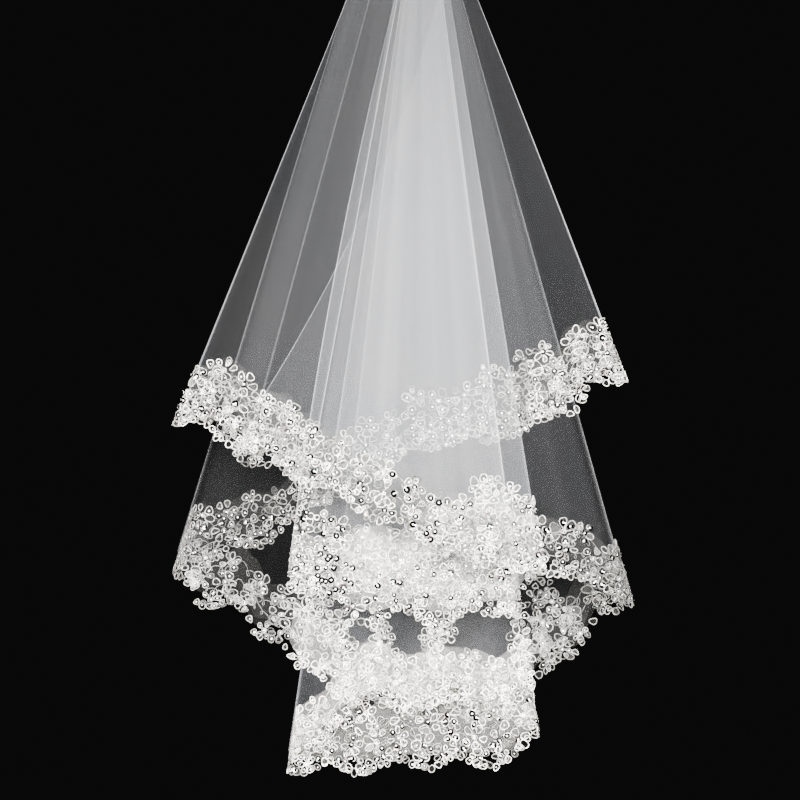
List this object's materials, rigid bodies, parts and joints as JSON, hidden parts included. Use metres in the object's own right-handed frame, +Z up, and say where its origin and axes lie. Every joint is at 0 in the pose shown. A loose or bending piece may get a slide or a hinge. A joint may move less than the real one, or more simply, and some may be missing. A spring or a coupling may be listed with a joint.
{
  "type": "bridal veil",
  "caption": "Two-tier gathered tulle veil with a flower lace edging, folded in layers and hanging from the comb that holds it in the hair.",
  "frame": {"origin": "middle of the gathered top, under the band that is sewn to the comb", "axes": "+Z up, towards the comb's top; -Y is the front of the hanging veil, and +X is to the right as seen from the front"},
  "size_m": [0.4987, 0.2223, 0.9079],
  "materials": {
    "tulle": "soft see-through net, cool white",
    "lace": "corded ivory lace with clear sequins",
    "band": "ivory bias strip, slight sheen",
    "comb": "clear moulded comb"
  },
  "bodies": {
    "root": {"tulle_front": "tulle", "tulle_right": "tulle", "tulle_lower": "tulle", "tulle_left": "tulle", "tulle_rear": "tulle", "tulle_upper": "tulle", "lace_front": "lace", "lace_right": "lace", "lace_lower": "lace", "lace_left": "lace", "lace_rear": "lace", "lace_upper": "lace", "gather_band": "band", "comb": "comb"}
  },
  "joints": []
}
